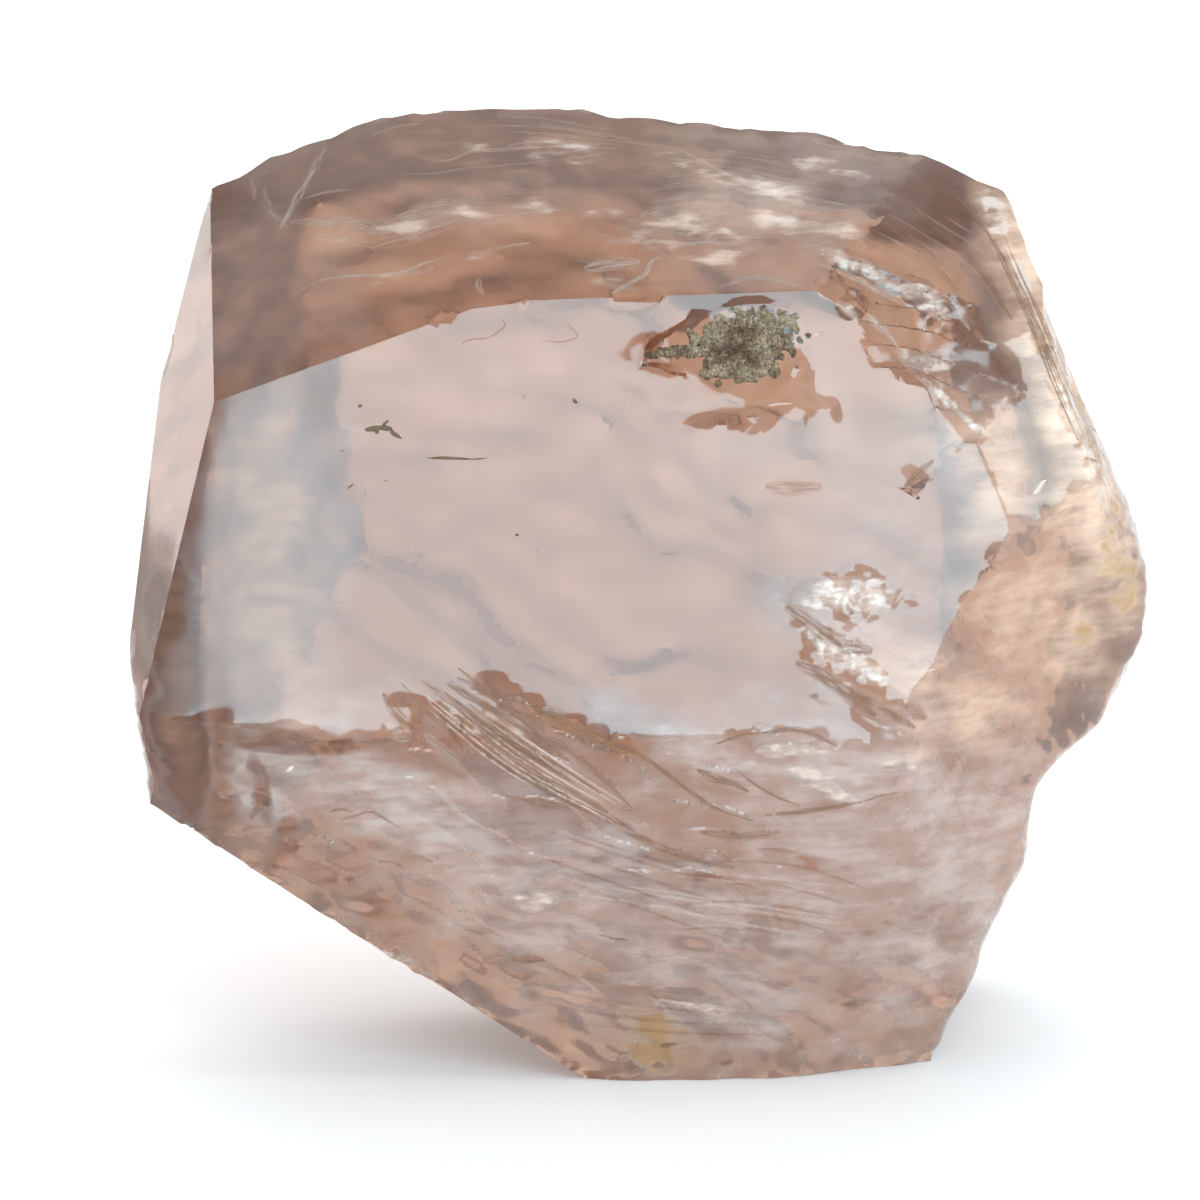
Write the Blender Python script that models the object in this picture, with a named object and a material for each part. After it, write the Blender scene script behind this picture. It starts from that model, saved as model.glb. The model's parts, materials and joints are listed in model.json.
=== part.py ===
"""A rough topaz crystal: flat growth faces in front, on top and at the left, a cleavage plane
under its left side, broken surfaces below, at the right and behind, and a crust of rock
grains in a shallow pit of the front face. It rests on a flat foot, +Z up, -Y to the front."""

import math

import bmesh
import bpy
from mathutils import Matrix, Vector, noise

MM = 0.001

# Every face is a plane: its compass angle from the front (-Y), positive to the right, its
# tilt above the horizon, both in degrees, and its distance from the heart in millimetres.
HEART_HEIGHT = 17.2
BLOCK_SIZE = 70.0
FLAT_FACES = {
    "front": (2.3, 15.0, 11.4),
    "top_left": (-14.4, 47.6, 15.83),
    "top_mid": (-4.9, 51.5, 15.43),
    "top_right": (0.8, 51.3, 15.24),
    "right_shoulder": (21.7, 38.3, 15.95),
    "right_cheek": (28.2, 22.9, 16.07),
    "left_sliver": (-70.3, 17.9, 19.65),
    "left_side": (-97.8, 0.9, 16.98),
    "left_side_top": (-99.2, 12.5, 18.2),
    "cleavage": (-86.9, -54.3, 15.12),
}

# The broken faces also have a slow swell, conchoidal ripples and cleavage steps, as heights
# in millimetres, and the compass angle on the face along which the steps follow each other.
BROKEN_FACES = {
    "right_chips": (14.2, 28.7, 14.42, 0.28, 0.14, 0.2, 50),
    "ridge_left": (-145.0, 49.2, 16.84, 0.3, 0.1, 0.2, 20),
    "ridge_mid_left": (-160.5, 51.5, 15.9, 0.3, 0.1, 0.2, 60),
    "ridge_mid": (172.2, 50.7, 13.52, 0.25, 0.1, 0.25, 10),
    "ridge_right": (154.2, 57.2, 15.69, 0.25, 0.1, 0.2, 0),
    "ridge_corner": (130.1, 64.4, 18.5, 0.2, 0.08, 0.0, 0),
    "rim_top": (90.3, 21.2, 18.9, 0.2, 0.1, 0.15, 40),
    "rim": (75.5, 21.1, 19.45, 0.2, 0.12, 0.35, 75),
    "rim_back_top": (91.4, 25.6, 20.05, 0.2, 0.08, 0.2, 30),
    "rim_back": (99.1, 20.2, 19.75, 0.2, 0.08, 0.2, 30),
    "right_side": (92.8, -3.9, 19.1, 0.25, 0.1, 0.2, 80),
    "right_under": (84.7, -25.7, 18.3, 0.25, 0.12, 0.0, 0),
    "right_foot": (80.3, -23.2, 19.2, 0.25, 0.12, 0.15, 60),
    "left_low": (-86.9, -6.6, 18.9, 0.15, 0.05, 0.0, 0),
    "front_under": (1.0, -18.2, 12.97, 0.36, 0.1, 0.4, 62),
    "front_right_under": (42.5, -11.6, 16.01, 0.4, 0.14, 0.25, 62),
    "right_toe": (21.9, -30.3, 16.75, 0.25, 0.1, 0.2, 62),
    "back": (172.0, 4.0, 11.3, 0.6, 0.2, 0.5, 35),
    "back_low": (-165.0, -36.0, 12.9, 0.5, 0.2, 0.45, -50),
    "right_back": (128.0, 6.0, 15.3, 0.5, 0.2, 0.4, 65),
    "left_back": (-130.0, -4.0, 15.8, 0.45, 0.2, 0.35, -70),
}

# Cleavage ledges that bite into the front face, as three corners of their floor: across and
# up the face from its foot point, and down into it.
LEDGES = {
    "long": ((-6.75, -3.4, 0.0), (3.81, -9.2, 0.55), (1.0, -12.4, 0.75)),
    "low": ((-9.4, -4.2, 0.0), (0.7, -10.2, 0.75), (-6.8, -8.6, 0.45)),
    "right": ((5.6, -2.9, 0.0), (10.2, -5.8, 0.3), (9.4, -7.6, 0.0)),
    "feather": ((12.2, 4.95, 0.0), (9.6, 3.1, 0.5), (10.2, 2.7, 0.0)),
}

# Conchoidal scoops: the face that they are in, their place across and up it, the length of
# their footprint across and up it, their turn in degrees, and their depth.
SCOOPS = {
    "bowl": ("front", 5.3, -7.5, 6.4, 3.2, -12, 0.4),
    "hollow": ("front", 3.8, 6.7, 5.6, 2.6, 8, 0.28),
    "notch": ("right_under", 0.0, 0.3, 64.0, 8.5, -12, 1.5),
    "heel": ("cleavage", -5.5, -1.6, 1.6, 1.2, 0, 0.3),
    "shoulder_chip": ("right_shoulder", 6.1, 3.7, 4.6, 2.0, -35, 0.35),
    "shoulder_lump": ("right_shoulder", 8.3, 2.6, 3.0, 1.9, -15, 0.35),
    "rim_chip": ("rim", 0.0, 1.6, 3.4, 2.2, 60, 0.3),
    "left_nick": ("left_side", -2.0, 5.0, 2.6, 1.6, 0, 0.3),
}

# The crust of rock grains: its place and turn on the front face, and its half sizes.
CRUST_PLACE = (3.35, 8.55)
CRUST_TURN = 9.0
CRUST_HALF = (2.85, 1.4, 0.5)
CRUST_SINK = 0.22
CRUST_GAP = 0.32
SWELL_LENGTH = 8.0
RIPPLE_LENGTH = 2.3
STEP_LENGTH = 3.4
BROKEN_SIZE = 46.0
BROKEN_GRID = 1.1
BROKEN_THICKNESS = 9.0


def clear_scene():
    for thing in list(bpy.data.objects):
        bpy.data.objects.remove(thing, do_unlink=True)


def outward(azimuth, tilt):
    """The unit vector that points out of a face at this compass angle and tilt."""
    a, t = math.radians(azimuth), math.radians(tilt)
    return Vector((math.sin(a) * math.cos(t), -math.cos(a) * math.cos(t), math.sin(t)))


def face_frame(azimuth, tilt, reach):
    """The frame on a face: its X runs level to the right of someone who looks at the face,
    its Y up the face, and its Z out of the crystal."""
    heart = Vector((0, 0, HEART_HEIGHT * MM))
    out = outward(azimuth, tilt)
    level = Vector((0, 0, 1)).cross(out).normalized()
    frame = Matrix((level, out.cross(level), out)).transposed().to_4x4()
    frame.translation = heart + out * reach * MM
    return frame


def new_object(name, mesh, collection):
    data = bpy.data.meshes.new(name)
    bmesh.ops.recalc_face_normals(mesh, faces=mesh.faces)
    mesh.to_mesh(data)
    mesh.free()
    thing = bpy.data.objects.new(name, data)
    collection.objects.link(thing)
    return thing


def cut_flat(mesh, normal, point):
    """Cuts away what lies beyond a plane, and closes the cut with one flat face."""
    everything = mesh.verts[:] + mesh.edges[:] + mesh.faces[:]
    cut = bmesh.ops.bisect_plane(
        mesh, geom=everything, plane_co=point, plane_no=normal, clear_outer=True
    )
    rim = [item for item in cut["geom_cut"] if isinstance(item, bmesh.types.BMEdge)]
    bmesh.ops.edgenet_fill(mesh, edges=rim)


def crystal_block(collection):
    """The crystal with its flat faces, and a margin left on the broken ones."""
    mesh = bmesh.new()
    lift = Matrix.Translation((0, 0, HEART_HEIGHT * MM))
    bmesh.ops.create_cube(mesh, size=BLOCK_SIZE * MM, matrix=lift)
    for azimuth, tilt, reach in FLAT_FACES.values():
        frame = face_frame(azimuth, tilt, reach)
        cut_flat(mesh, frame.col[2].to_3d(), frame.translation)
    for azimuth, tilt, reach, *_ in BROKEN_FACES.values():
        frame = face_frame(azimuth, tilt, reach + 1.5)
        cut_flat(mesh, frame.col[2].to_3d(), frame.translation)
    cut_flat(mesh, Vector((0, 0, -1)), Vector((0, 0, 0)))
    return new_object("crystal", mesh, collection)


def broken_height(x, y, seed, swell, ripple, step, turn):
    """The height of a broken face in millimetres, at a place on it."""
    slow = noise.noise(Vector((x / SWELL_LENGTH, y / SWELL_LENGTH, seed)))
    medium = noise.noise(Vector((x / 3.1, y / 3.1, seed + 40)))
    height = swell * (1.6 * slow + 0.55 * medium)
    origin = Vector((19 * math.cos(seed), 19 * math.sin(seed)))
    away = (Vector((x, y)) - origin).length / RIPPLE_LENGTH
    height += ripple * math.sin(2 * math.pi * (away + 1.2 * slow))
    along = x * math.cos(math.radians(turn)) + y * math.sin(math.radians(turn))
    where = along / STEP_LENGTH + 1.1 * slow + 0.3 * medium
    height += step * (where - math.floor(where) - 0.5)
    return height


def broken_cutter(name, seed, face, collection):
    """A thick sheet whose underside is the broken face."""
    azimuth, tilt, reach, swell, ripple, step, turn = face
    count = int(BROKEN_SIZE / BROKEN_GRID)
    mesh = bmesh.new()
    bmesh.ops.create_grid(mesh, x_segments=count, y_segments=count, size=BROKEN_SIZE / 2)
    for vert in mesh.verts:
        shift = 0.25 * noise.noise_vector(Vector((vert.co.x, vert.co.y, seed)))
        vert.co.x += shift.x
        vert.co.y += shift.y
        vert.co.z = broken_height(vert.co.x, vert.co.y, seed, swell, ripple, step, turn)
    sheet = bmesh.ops.extrude_face_region(mesh, geom=mesh.faces[:])
    for item in sheet["geom"]:
        if isinstance(item, bmesh.types.BMVert):
            item.co.z = BROKEN_THICKNESS
    frame = face_frame(azimuth, tilt, reach)
    bmesh.ops.scale(mesh, vec=(MM, MM, MM), verts=mesh.verts)
    bmesh.ops.transform(mesh, matrix=frame, verts=mesh.verts)
    return new_object("broken_" + name, mesh, collection)


def ledge_cutter(name, corners, collection):
    """A wedge whose floor runs from nothing to a step of the ledge's depth."""
    mesh = bmesh.new()
    for across, up, down in corners:
        mesh.verts.new((across * MM, up * MM, -down * MM))
        mesh.verts.new((across * MM, up * MM, 3 * MM))
    bmesh.ops.convex_hull(mesh, input=mesh.verts)
    frame = face_frame(*FLAT_FACES["front"])
    bmesh.ops.transform(mesh, matrix=frame, verts=mesh.verts)
    return new_object("ledge_" + name, mesh, collection)


def scoop_cutter(name, scoop, collection):
    """A ball, drawn out to the scoop's footprint, that dips into the face by its depth."""
    face, across, up, length, width, turn, depth = scoop
    azimuth, tilt, reach = (FLAT_FACES.get(face) or BROKEN_FACES[face])[:3]
    radius = ((length / 2) ** 2 + depth**2) / (2 * depth)
    mesh = bmesh.new()
    bmesh.ops.create_icosphere(mesh, subdivisions=4, radius=radius * MM)
    stretch = Matrix.Diagonal((1, width / length, 1, 1))
    place = Matrix.Translation((across * MM, up * MM, (radius - depth) * MM))
    spin = Matrix.Rotation(math.radians(turn), 4, "Z")
    frame = face_frame(azimuth, tilt, reach)
    bmesh.ops.transform(mesh, matrix=frame @ place @ spin @ stretch, verts=mesh.verts)
    return new_object("scoop_" + name, mesh, collection)


def crust_lump(name, gap, collection):
    """A flat uneven lump, narrower at its left end, swollen by a gap where it is a pit."""
    mesh = bmesh.new()
    bmesh.ops.create_icosphere(mesh, subdivisions=3, radius=1)
    for vert in mesh.verts:
        rough = 1 + 0.16 * noise.noise(vert.co * 2.1 + Vector((3, 5, 7)))
        taper = 0.72 + 0.28 * vert.co.x
        shape = Vector((CRUST_HALF[0], CRUST_HALF[1] * taper, CRUST_HALF[2])) * rough
        vert.co = Vector((vert.co.x * shape.x, vert.co.y * shape.y, vert.co.z * shape.z))
    mesh.normal_update()
    for vert in mesh.verts:
        vert.co += vert.normal * gap
    bmesh.ops.scale(mesh, vec=(MM, MM, MM), verts=mesh.verts)
    place = Matrix.Translation((CRUST_PLACE[0] * MM, CRUST_PLACE[1] * MM, -CRUST_SINK * MM))
    spin = Matrix.Rotation(math.radians(CRUST_TURN), 4, "Z")
    frame = face_frame(*FLAT_FACES["front"])
    bmesh.ops.transform(mesh, matrix=frame @ place @ spin, verts=mesh.verts)
    return new_object(name, mesh, collection)


def cut_away(thing, cutter):
    cutter.hide_render = True
    cutter.display_type = "WIRE"
    cut = thing.modifiers.new(cutter.name, "BOOLEAN")
    cut.operation = "DIFFERENCE"
    cut.solver = "MANIFOLD"
    cut.object = cutter


def drop_splinters(mesh):
    """Keeps the largest body, without the crumbs that the cuts have set free."""
    left = set(mesh.verts)
    bodies = []
    while left:
        body = {left.pop()}
        edge_of_body = list(body)
        while edge_of_body:
            near = {edge.other_vert(vert) for vert in edge_of_body for edge in vert.link_edges}
            edge_of_body = list(near & left)
            body |= near
            left -= near
        bodies.append(body)
    bodies.sort(key=len)
    for body in bodies[:-1]:
        bmesh.ops.delete(mesh, geom=list(body), context="VERTS")


def settle(thing):
    """Applies the cuts, and drops the splinters and the shortest edges that they left."""
    graph = bpy.context.evaluated_depsgraph_get()
    data = bpy.data.meshes.new_from_object(thing.evaluated_get(graph))
    thing.modifiers.clear()
    mesh = bmesh.new()
    mesh.from_mesh(data)
    drop_splinters(mesh)
    bmesh.ops.remove_doubles(mesh, verts=mesh.verts, dist=0.004 * MM)
    bmesh.ops.dissolve_degenerate(mesh, dist=0.004 * MM, edges=mesh.edges)
    bmesh.ops.triangulate(mesh, faces=[face for face in mesh.faces if len(face.verts) > 4])
    mesh.to_mesh(data)
    mesh.free()
    thing.data = data


def stand(things):
    """Brings the middle of the crystal's outline to the origin, with its foot on the floor."""
    graph = bpy.context.evaluated_depsgraph_get()
    corners = [vert.co for vert in things[0].evaluated_get(graph).data.vertices]
    middle = [(min(c[i] for c in corners) + max(c[i] for c in corners)) / 2 for i in (0, 1)]
    shift = Matrix.Translation((-middle[0], -middle[1], -min(c.z for c in corners)))
    for thing in things:
        thing.data.transform(shift)


def material(name, colour, roughness, transmission):
    """A material of one colour, clear where transmission is 1."""
    made = bpy.data.materials.new(name)
    made.use_nodes = True
    shader = made.node_tree.nodes["Principled BSDF"]
    shader.inputs["Base Color"].default_value = (*colour, 1)
    shader.inputs["Roughness"].default_value = roughness
    shader.inputs["Transmission Weight"].default_value = transmission
    shader.inputs["IOR"].default_value = 1.62
    return made


def main():
    clear_scene()
    topaz = bpy.data.collections.new("topaz crystal")
    cutters = bpy.data.collections.new("cutters")
    bpy.context.scene.collection.children.link(topaz)
    bpy.context.scene.collection.children.link(cutters)
    crystal = crystal_block(topaz)
    for seed, (name, face) in enumerate(BROKEN_FACES.items()):
        cut_away(crystal, broken_cutter(name, seed, face, cutters))
    for name, corners in LEDGES.items():
        cut_away(crystal, ledge_cutter(name, corners, cutters))
    for name, scoop in SCOOPS.items():
        cut_away(crystal, scoop_cutter(name, scoop, cutters))
    cut_away(crystal, crust_lump("crust_pit", CRUST_GAP, cutters))
    settle(crystal)
    crust = crust_lump("matrix_crust", 0, topaz)
    stand([crystal, crust])
    crystal.data.materials.append(material("topaz", (0.62, 0.45, 0.38), 0.08, 1))
    crust.data.materials.append(material("rock grains", (0.3, 0.26, 0.17), 0.8, 0))
    for thing in cutters.objects:
        thing.hide_render = True
        thing.display_type = "WIRE"


main()
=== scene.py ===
"""The looks of a rough topaz crystal: clear sherry-brown stone with glossy growth faces, frosted
broken faces, cleavage steps, cracks and veils inside, and a crust of rock grains."""

import json
import math

import bmesh
import bpy
import numpy as np
from mathutils import Matrix, Vector, noise
from mathutils.bvhtree import BVHTree

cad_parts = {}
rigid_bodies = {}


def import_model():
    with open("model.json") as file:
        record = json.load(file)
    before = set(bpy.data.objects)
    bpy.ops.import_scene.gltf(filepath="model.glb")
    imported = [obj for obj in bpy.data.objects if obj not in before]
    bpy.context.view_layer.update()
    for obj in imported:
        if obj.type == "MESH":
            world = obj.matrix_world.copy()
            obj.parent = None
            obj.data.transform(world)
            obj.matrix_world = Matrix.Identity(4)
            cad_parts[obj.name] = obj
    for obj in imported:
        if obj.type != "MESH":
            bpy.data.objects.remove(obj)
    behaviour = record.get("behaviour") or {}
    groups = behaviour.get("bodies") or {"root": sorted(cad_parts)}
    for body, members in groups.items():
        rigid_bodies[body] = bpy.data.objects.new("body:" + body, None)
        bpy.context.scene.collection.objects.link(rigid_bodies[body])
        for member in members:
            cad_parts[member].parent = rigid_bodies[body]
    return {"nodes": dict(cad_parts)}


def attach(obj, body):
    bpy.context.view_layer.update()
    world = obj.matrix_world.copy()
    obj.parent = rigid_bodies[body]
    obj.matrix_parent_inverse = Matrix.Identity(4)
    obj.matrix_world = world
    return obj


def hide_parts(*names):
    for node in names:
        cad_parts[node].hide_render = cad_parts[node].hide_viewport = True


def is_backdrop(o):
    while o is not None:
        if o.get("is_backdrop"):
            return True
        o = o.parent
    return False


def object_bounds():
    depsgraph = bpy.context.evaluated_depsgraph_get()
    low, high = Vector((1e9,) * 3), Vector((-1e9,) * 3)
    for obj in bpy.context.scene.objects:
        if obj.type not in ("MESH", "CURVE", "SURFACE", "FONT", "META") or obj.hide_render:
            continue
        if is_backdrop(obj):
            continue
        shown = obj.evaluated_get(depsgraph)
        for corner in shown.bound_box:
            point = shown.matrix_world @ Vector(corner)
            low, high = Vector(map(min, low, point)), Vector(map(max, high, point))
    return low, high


for startup_object in list(bpy.data.objects):
    bpy.data.objects.remove(startup_object)
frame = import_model()
CAD_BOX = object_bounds()

MM = 0.001
PHOTO_SIDE = 1200

# The growth faces and the cleavage plane: compass angle from the front, positive to the right,
# tilt above the horizon, both in degrees, and distance from the heart in millimetres. How near
# to one of them a polygon of the solid, and a cell of the fine surface, has to be to lie on it.
FLAT_FACES = {
    "front": (2.3, 15.0, 11.4),
    "top_left": (-14.4, 47.6, 15.83),
    "top_mid": (-4.9, 51.5, 15.43),
    "top_right": (0.8, 51.3, 15.24),
    "right_shoulder": (21.7, 38.3, 15.95),
    "right_cheek": (28.2, 22.9, 16.07),
    "left_sliver": (-70.3, 17.9, 19.65),
    "left_side": (-97.8, 0.9, 16.98),
    "left_side_top": (-99.2, 12.5, 18.2),
    "cleavage": (-86.9, -54.3, 15.12),
}
SAME_WAY = 0.9999
FACE_WITHIN = 0.06
FACE_TURN = 6.0

# A place on the front face, from a pixel of the photograph: the pixel of its foot point, and
# the pixels in a millimetre across and up the face.
FRONT_FOOT = (639, 575)
FRONT_SCALE = (26.9, 27.0)

# The fine surface: how near points are joined, its cells, how they are smoothed on broken faces,
# how high the foot, the pit on the front face and the ridge over the floor begin, how deep the
# pit is, and over what height the ridge fades in.
MERGE_WITHIN = 0.002
CELL = 0.385
OCTREE_DEPTH = 8
SMOOTH_ROUNDS = 6
SMOOTH_STEP = 0.6
FOOT_HEIGHT = 0.05
PIT_FOOT = 7.5
PIT_DEPTH = 1.6
RIDGE_FOOT = 25.0
RIDGE_FADE = 6.0

# Parts of the front face whose cells are halved once more: middle and half sizes.
FINE_ZONES = ((-1.5, -7.4, 7.0, 3.6), (8.0, -2.0, 2.4, 2.4), (9.5, 8.9, 3.2, 2.8))

# The fine relief. Each noise has its wavelength, height and seed.
BROKEN_NOISES = ((1.7, 0.08, 1), (0.8, 0.04, 2))
CRINKLE_NOISES = ((0.6, 0.1, 8), (0.3, 0.05, 9))
STEP_HEIGHT = 0.06
STEP_SPACING = 0.9
STEP_WAY = (0.3, 0.55, 0.8)
GRAIN_TURN = -28.0
GRAIN_STRETCH = 3.2
GRAIN_HEIGHT = 0.09
HACKLE_HEIGHT = 0.05
EDGE_CHIPS = 0.28
EDGE_WEAR = 0.004
FLAT_WAVE = 0.001

# The two ways on the front face, as pixels, between which the fan of cleavage steps runs, and
# the lumps of the chipped band: place on the front face, size and height.
HACKLE_WAYS = (
    (458, 668, 523, 703, 604, 744, 666, 773, 753, 820),
    (385, 694, 440, 745, 520, 796, 620, 826, 692, 857, 760, 872),
)
LUMPS = (
    (10.5, 10.3, 0.5, 0.3), (11.2, 10.0, 0.4, 0.28), (8.0, 9.9, 0.5, 0.2),
    (10.9, 9.5, 0.5, 0.25),
)

# How far a line on the surface is proud of it.
LINE_LIFT = 0.012

# How much light the clear stone takes, per metre of way through it: red, green and blue.
STONE_TAKES = (38.0, 66.0, 87.0)
STONE_IOR = 1.62

# The crust of rock grains on the front face: the middle, half sizes and turn of its spots, the
# reach of its grid across and up the face, the height and skirt of its bed, and its grains.
CRUST_SPOTS = ((4.1, 8.72, 1.95, 1.0, 8), (3.9, 7.75, 1.5, 0.7, 2), (1.75, 8.2, 1.3, 0.2, 4))
CRUST_CELL = 0.07
CRUST_REACH = ((-0.4, 7.0), (6.2, 10.6))
CRUST_HEIGHT = 0.2
CRUST_SKIRT = 0.45
GRAIN_UNEVEN = 0.14
GRAIN_SIZE = 0.062
GRAINS_PER_MM2 = 230.0
GRAIN_COLOURS = (
    (0.0, (0.04, 0.026, 0.018)), (0.06, (0.12, 0.075, 0.042)), (0.16, (0.21, 0.155, 0.1)),
    (0.3, (0.33, 0.27, 0.18)), (0.5, (0.48, 0.42, 0.31)),
)

# Dirt on the front face: middle, half length, half width and turn of each speck.
SPECKS = (
    (-9.75, 5.42, 0.28, 0.1, 8), (-9.25, 5.42, 0.18, 0.09, -12), (-8.95, 5.2, 0.24, 0.08, -38),
    (-9.3, 5.62, 0.13, 0.06, 35), (-9.42, 5.45, 0.2, 0.09, 4), (-9.6, 5.3, 0.08, 0.07, 0),
    (-10.23, 6.26, 0.07, 0.06, 0), (-2.3, 6.38, 0.11, 0.07, -50), (-4.49, 1.45, 0.06, 0.05, 0),
    (10.34, 2.7, 0.07, 0.06, 0), (-9.3, 3.5, 0.04, 0.03, 0), (-10.9, 4.6, 0.05, 0.02, 0),
    (-7, 4.3, 0.8, 0.055, -2), (-5.9, 4.27, 0.3, 0.025, 4), (-10.6, 3.3, 0.14, 0.03, 40),
)
SPECK_HEIGHT = 0.07

# Spots of the surface, as places on the front face: middle, half sizes, turn and strength.
# Pale haze of tiny cracks, and painted sheen: a pale diffuse share that stands for the front light's
# reflection on the uneven broken faces.
HAZE_AND_SHEEN_SPOTS = (
    (8, -1.2, 2.4, 1.4, -8, 0.25), (7.6, -3.1, 1.8, 0.6, -34, 0.3),
    (9.4, 1, 3, 5.5, 20, 0.08), (13.2, 3.4, 2, 3.4, 25, 0.2), (4.6, 4.2, 3, 1.6, -5, 0.05),
    (7.2, -2.3, 2.6, 1.2, -25, 0.16), (11, -5.2, 4.5, 2.4, -20, 0.27),
    (3, -7, 4.4, 0.9, -24, 0.44), (6.6, -7.6, 3.2, 1.2, 0, 0.5), (9.4, -7.4, 2.6, 1.4, 20, 0.4),
    (0, -12.5, 14, 4.8, -18, 0.31), (9, -11, 9, 6, 10, 0.33),
    (-9, -8.4, 7, 2, -20, 0.4), (-14.2, -7.8, 2.2, 1.2, -30, 0.34),
    (5, 14, 4.2, 1.4, 0, 0.1), (6, 15.9, 4.6, 0.8, -6, 0.06), (-4.6, 14.1, 4.5, 1, 4, 0.05),
)
# Painted light: a pale share on the top band's right part, growing to the right, that makes it lighter
# than the shoulder.
TOP_RIGHT_PAINTED_LIGHT = 0.03
# Warm cream haze.
WARM_SPOTS = (
    (-13.4, 1, 2.3, 5.6, 0, 0.2), (-13.4, 11, 3, 3.4, 0, 0.1), (-3, 16, 12.5, 2, -2, 0.15),
    (15.4, -1.6, 3.4, 3.4, 0, 0.45), (17.6, 2.4, 1.8, 5, 12, 0.7), (16.2, 7, 1.5, 5.6, 24, 0.8),
    (13.6, -4, 4, 1.8, 30, 0.25), (13.4, 4.2, 1.8, 2.6, 20, 0.28), (10, -3.9, 3, 1.4, -20, 0.16),
    (14.4, 12.6, 1, 2.4, 22, 0.75), (-12, -4.6, 3.4, 0.6, 0, 0.05),
)
# Brown beside the left edge.
BROWN_SPOTS = ((-17, -3.8, 0.9, 5.6, 4, 0.6),)
# The shallow flake scar under the crust, and its slope.
SCAR_SPOTS = ((1, 7.6, 1.7, 1.1, -30, 1), (3.6, 6.4, 2.7, 0.9, -8, 1))
SCAR_TOP = 9.0
SCAR_SLOPE = 0.07
# Streaky flecks of the veils under the top band.
VEIL_SPOTS = (
    (1.6, 12.8, 1.5, 0.8, 0, 1), (5.8, 13.1, 2.3, 0.45, -8, 0.95), (4.6, 14.8, 3.4, 0.35, -19, 0.7),
    (-3.8, 16.1, 2.6, 0.6, -3, 0.6), (-5.9, 13.5, 3.8, 0.5, 8, 0.6), (-1.2, 12.4, 1.3, 1.7, 0, 0.45),
    (3.6, 12.2, 2.8, 0.6, -4, 0.5), (6.6, 15.6, 2.6, 0.3, -12, 0.6), (-10, 12.8, 1.8, 0.3, 4, 0.5),
    (-8, 11.4, 2.4, 0.25, 14, 0.5), (-0.6, 11, 1.5, 0.7, 4, 0.5),
)
# Crinkled patches, with painted glints: their pale diffuse share stands for the glints of the tiny
# facets.
CRINKLE_AND_GLINT_SPOTS = (
    (8.1, -0.9, 1.8, 0.9, -8, 1), (7.4, -3, 1.5, 0.42, -34, 0.95), (10.6, 10.2, 0.9, 0.5, -30, 1),
    (10.8, 7.8, 1.1, 0.5, -5, 0.9), (8.6, 11.2, 2, 0.35, -26, 0.9), (11.6, 6.2, 1.6, 0.2, -42, 0.8),
    (15.9, 7.2, 7, 0.42, -70, 0.42), (13.6, 13.6, 1.4, 0.45, -66, 0.7), (5.6, -6.6, 1.5, 0.4, 8, 0.75),
    (7, -7.9, 1.6, 0.4, -26, 0.8), (9.9, -7.2, 0.9, 0.25, 0, 0.7), (-8.7, -14.3, 0.9, 0.4, -30, 0.8),
    (-4, -12, 0.9, 0.5, -10, 0.6), (2.4, -16, 2.2, 0.25, -6, 0.6), (-8.9, -6, 0.9, 0.25, -50, 0.5),
)
# Clear windows in the crack haze and painted sheen, through which the stone is brown.
WINDOW_SPOTS = (
    (-15.9, -6.2, 0.9, 3, 4, 1), (-12.6, -6.1, 3.4, 0.5, -4, 1), (-14, -7.9, 0.35, 1.5, 12, 1),
    (-13.2, -10, 0.7, 1.1, -20, 0.9), (-10.6, -11.4, 2.6, 0.7, -32, 0.7),
    (-6.6, -14.2, 3, 0.7, -30, 0.6), (-3.6, -14.6, 2.8, 0.6, 5, 0.7), (2.6, -11.4, 3.2, 0.4, -8, 0.55),
    (6, -10.8, 2.4, 0.4, -4, 0.5), (8, -3.8, 2.8, 0.4, -32, 0.9), (-9, -4.7, 1.3, 0.4, -55, 0.9),
    (1, -15.8, 3.6, 0.8, 0, 0.5), (10, -12.6, 3, 0.8, 10, 0.45), (6.5, -15, 3, 0.7, -10, 0.45),
    (5.8, -0.6, 0.6, 1.4, 20, 0.7), (6.2, 1, 0.9, 0.5, 10, 0.6),
)
# Rust of iron.
RUST_SPOTS = (
    (1, -17.4, 2, 0.8, -8, 1), (-0.2, -16.5, 0.7, 0.4, -40, 1), (17.2, 5.8, 0.5, 1.3, 15, 0.9),
    (18.2, 0.6, 0.7, 2.2, 4, 0.7), (16.9, -2.2, 0.7, 0.6, 0, 0.45), (15.2, 8.5, 0.4, 0.6, 0, 0.6),
)

# All spots that are painted on the surface, in the order of their seeds.
SPOTS = {"haze_and_sheen": HAZE_AND_SHEEN_SPOTS, "warm": WARM_SPOTS, "window": WINDOW_SPOTS, "rust": RUST_SPOTS,
         "painted_glint": CRINKLE_AND_GLINT_SPOTS, "veil": VEIL_SPOTS, "brown": BROWN_SPOTS}
FIRST_SPOT_SEED = 4

# The step along a way in millimetres, the photograph's pixels in one, and how much wider than
# given its ribbons are.
WAY_STEP = 0.2
WAY_SCALE = 26
WIDEN = 1.7
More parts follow.
